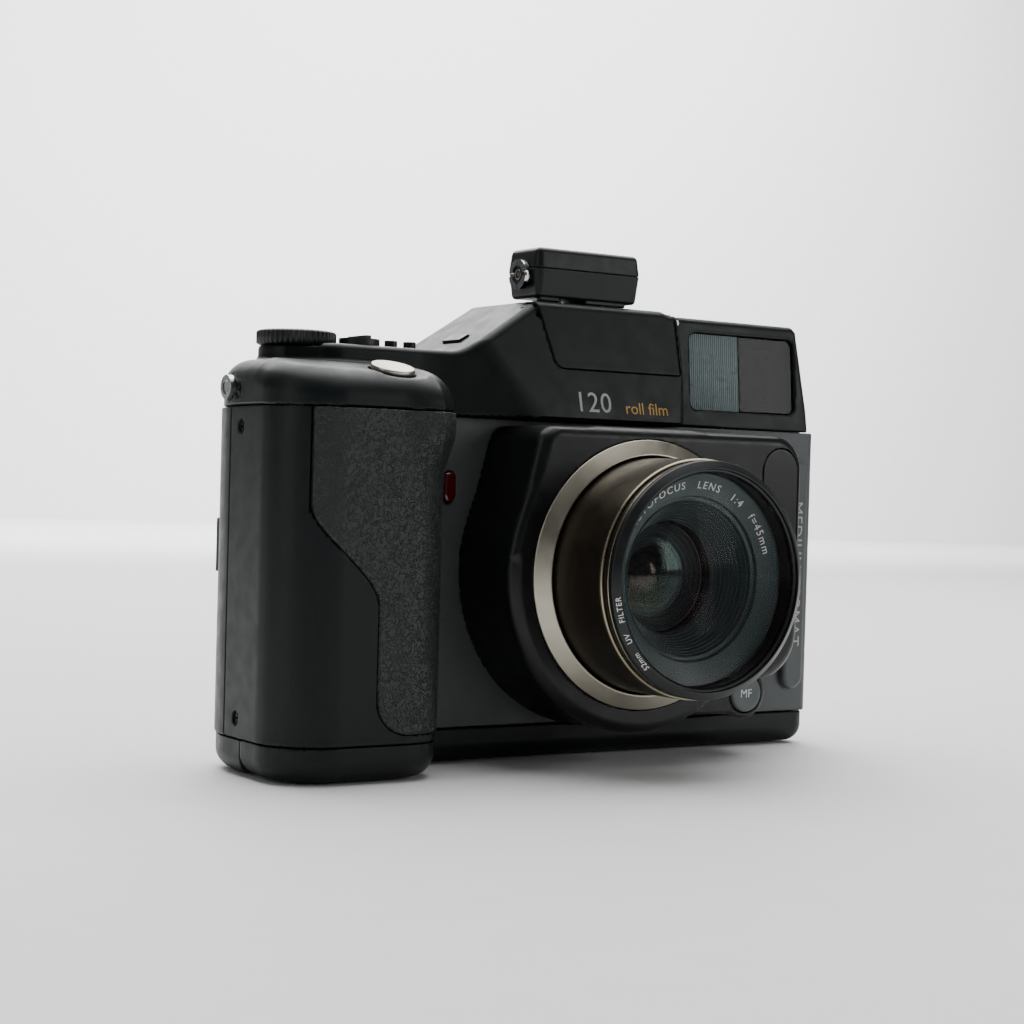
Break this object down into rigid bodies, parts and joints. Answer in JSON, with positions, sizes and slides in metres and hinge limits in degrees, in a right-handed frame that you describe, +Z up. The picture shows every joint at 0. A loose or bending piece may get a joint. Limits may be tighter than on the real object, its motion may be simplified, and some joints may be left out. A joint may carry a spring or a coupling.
{
  "type": "camera",
  "caption": "Compact autofocus roll-film camera with a power-retracting lens, screw-in filter, moulded grip, pop-up flash, hinged film back and a sync adapter in its shoe.",
  "frame": {"origin": "mouth of the tripod socket in the underside, below the lens axis", "axes": "+X along the body to the side away from the grip, +Y from the lens towards the film back, +Z up"},
  "size_m": [0.1654, 0.0825, 0.1225],
  "materials": {
    "body_plastic": "satin dark charcoal moulding",
    "housing_plastic": "satin near-black moulding",
    "leather": "pebbled black rubber skin",
    "latch_grey": "satin grey plastic",
    "steel": "bright steel",
    "springs": "spring strip",
    "chassis": "black-painted casting",
    "spool_plastic": "moulded spool",
    "film_roll": "paper-backed roll film on its spool",
    "cell": "wrapped lithium cells",
    "board": "green solder mask",
    "motor": "motor can and gears",
    "capacitor": "shrink-wrapped can",
    "champagne": "satin champagne anodising",
    "bronze": "satin dark bronze anodising",
    "black_metal": "black anodising",
    "blade": "blackened spring steel",
    "lens_glass": "coated optical glass",
    "filter_glass": "clear protective glass",
    "dark_window": "dark window",
    "red_lamp": "red lamp cap",
    "finder_glass": "clear finder window",
    "frosted": "ribbed frosted window",
    "flash_glass": "clear flash panel and tube",
    "inner_black": "matt black",
    "eyecup": "moulded rubber",
    "control_black": "black control plastic",
    "button_metal": "satin silver-beige metal",
    "adapter_plastic": "satin black plastic",
    "socket_chrome": "nickel-plated brass",
    "screw_black": "blackened screw"
  },
  "bodies": {
    "body": {"front_cover": "body_plastic", "grip_cover": "body_plastic", "grip_leather": "leather", "base_cover": "body_plastic", "top_cover": "body_plastic", "back_hinge_pin": "steel", "film_chassis": "chassis", "spool_pins": "steel", "batteries": "cell", "main_board": "board", "lens_motor": "motor", "flash_capacitor": "capacitor", "lens_housing": "housing_plastic", "bezel_ring": "champagne", "guide_tube": "chassis", "focus_window": "dark_window", "timer_lamp": "red_lamp", "name_strip": "housing_plastic", "finder_window": "finder_glass", "finder_screen": "frosted", "finder_tube": "inner_black", "eyepiece": "eyecup", "flash_hinge_pin": "steel", "accessory_shoe": "steel", "rear_controls": "control_black", "tripod_socket": "steel", "strap_lug": "steel", "side_screws": "screw_black"},
    "back": {"film_back": "body_plastic", "pressure_springs": "springs"},
    "latch": {"back_latch": "latch_grey"},
    "film_plate": {"pressure_plate": "chassis"},
    "battery_hatch": {"battery_door": "body_plastic"},
    "take_up": {"take_up_spool": "spool_plastic"},
    "supply": {"supply_spool": "film_roll"},
    "lens": {"lens_barrel": "bronze", "name_ring": "black_metal", "front_lens": "lens_glass", "shutter_case": "black_metal", "rear_lens": "lens_glass"},
    "filter": {"filter_ring": "black_metal", "filter_glass": "filter_glass"},
    "flash": {"flash_head": "housing_plastic", "flash_lens": "flash_glass"},
    "flash_release": {"flash_button": "control_black"},
    "adapter": {"adapter_foot": "steel", "adapter_lower": "adapter_plastic", "adapter_upper": "adapter_plastic", "sync_socket": "socket_chrome"},
    "release": {"shutter_button": "button_metal"},
    "dial": {"mode_dial": "control_black"},
    "selector": {"selector_disc": "control_black"},
    "exposure_key": {"exposure_button": "control_black"},
    "timer_key": {"timer_button": "control_black"},
    "focus_key": {"focus_button": "latch_grey"},
    "blade_1": {"shutter_blade_1": "blade"},
    "blade_2": {"shutter_blade_2": "blade"},
    "blade_3": {"shutter_blade_3": "blade"},
    "blade_4": {"shutter_blade_4": "blade"},
    "blade_5": {"shutter_blade_5": "blade"}
  },
  "joints": [
    {"name": "back_open", "type": "hinge", "parent": "body", "child": "back", "pos_m": [0.0699, -0.0082, 0.045], "axis": [0, 0, -1], "range_deg": [0, 88]},
    {"name": "latch_slide", "type": "slide", "parent": "back", "child": "latch", "axis": [0, 0, -1], "range_m": [0, 0.0055]},
    {"name": "film_plate_press", "type": "slide", "parent": "back", "child": "film_plate", "axis": [0, 1, 0], "range_m": [0, 0.0004], "stiffness_N_per_m": 900},
    {"name": "battery_hatch_open", "type": "hinge", "parent": "body", "child": "battery_hatch", "pos_m": [-0.0735, -0.015, 0.0009], "axis": [1, 0, 0], "range_deg": [0, 95]},
    {"name": "lens_retract", "type": "slide", "parent": "body", "child": "lens", "axis": [0, 1, 0], "range_m": [0, 0.018]},
    {"name": "filter_turn", "type": "hinge", "parent": "lens", "child": "filter", "pos_m": [0, -0.06, 0.045], "axis": [0, -1, 0], "continuous": true},
    {"name": "blade_1_swing", "type": "hinge", "parent": "lens", "child": "blade_1", "pos_m": [0.0155, -0.032, 0.045], "axis": [0, 1, 0], "range_deg": [0, 45]},
    {"name": "blade_2_swing", "type": "hinge", "parent": "lens", "child": "blade_2", "pos_m": [0.00479, -0.032, 0.03026], "axis": [0, 1, 0], "range_deg": [0, 45]},
    {"name": "blade_3_swing", "type": "hinge", "parent": "lens", "child": "blade_3", "pos_m": [-0.01254, -0.032, 0.03589], "axis": [0, 1, 0], "range_deg": [0, 45]},
    {"name": "blade_4_swing", "type": "hinge", "parent": "lens", "child": "blade_4", "pos_m": [-0.01254, -0.032, 0.05411], "axis": [0, 1, 0], "range_deg": [0, 45]},
    {"name": "blade_5_swing", "type": "hinge", "parent": "lens", "child": "blade_5", "pos_m": [0.00479, -0.032, 0.05974], "axis": [0, 1, 0], "range_deg": [0, 45]},
    {"name": "take_up_turn", "type": "hinge", "parent": "body", "child": "take_up", "pos_m": [0.054, 0.001, 0.045], "axis": [0, 0, 1], "continuous": true},
    {"name": "supply_turn", "type": "hinge", "parent": "body", "child": "supply", "pos_m": [-0.075, -0.002, 0.045], "axis": [0, 0, 1], "continuous": true},
    {"name": "flash_raise", "type": "hinge", "parent": "body", "child": "flash", "pos_m": [0, -0.0132, 0.1068], "axis": [-1, 0, 0], "range_deg": [0, 64]},
    {"name": "flash_button_press", "type": "slide", "parent": "body", "child": "flash_release", "axis": [0.5, 0, -0.866], "range_m": [0, 0.001], "stiffness_N_per_m": 250},
    {"name": "shutter_press", "type": "slide", "parent": "body", "child": "release", "axis": [0, 0.2924, -0.9563], "range_m": [0, 0.0012], "stiffness_N_per_m": 350},
    {"name": "mode_dial_turn", "type": "hinge", "parent": "body", "child": "dial", "pos_m": [-0.075, -0.002, 0.097], "axis": [0, 0, -1], "range_deg": [-60, 180]},
    {"name": "selector_turn", "type": "hinge", "parent": "body", "child": "selector", "pos_m": [-0.0615, -0.007, 0.097], "axis": [0, 0, -1], "range_deg": [-40, 40]},
    {"name": "exposure_press", "type": "slide", "parent": "body", "child": "exposure_key", "axis": [0, 0, -1], "range_m": [0, 0.0008], "stiffness_N_per_m": 200},
    {"name": "timer_press", "type": "slide", "parent": "body", "child": "timer_key", "axis": [0, 0, -1], "range_m": [0, 0.0008], "stiffness_N_per_m": 200},
    {"name": "focus_press", "type": "slide", "parent": "body", "child": "focus_key", "axis": [0, 1, 0], "range_m": [0, 0.0008], "stiffness_N_per_m": 200},
    {"name": "adapter_slide", "type": "slide", "parent": "body", "child": "adapter", "axis": [0, 1, 0], "range_m": [0, 0.026]}
  ],
  "couplings": [
    {"joint": "blade_2_swing", "follows": "blade_1_swing", "ratio": 1},
    {"joint": "blade_3_swing", "follows": "blade_1_swing", "ratio": 1},
    {"joint": "blade_4_swing", "follows": "blade_1_swing", "ratio": 1},
    {"joint": "blade_5_swing", "follows": "blade_1_swing", "ratio": 1}
  ]
}
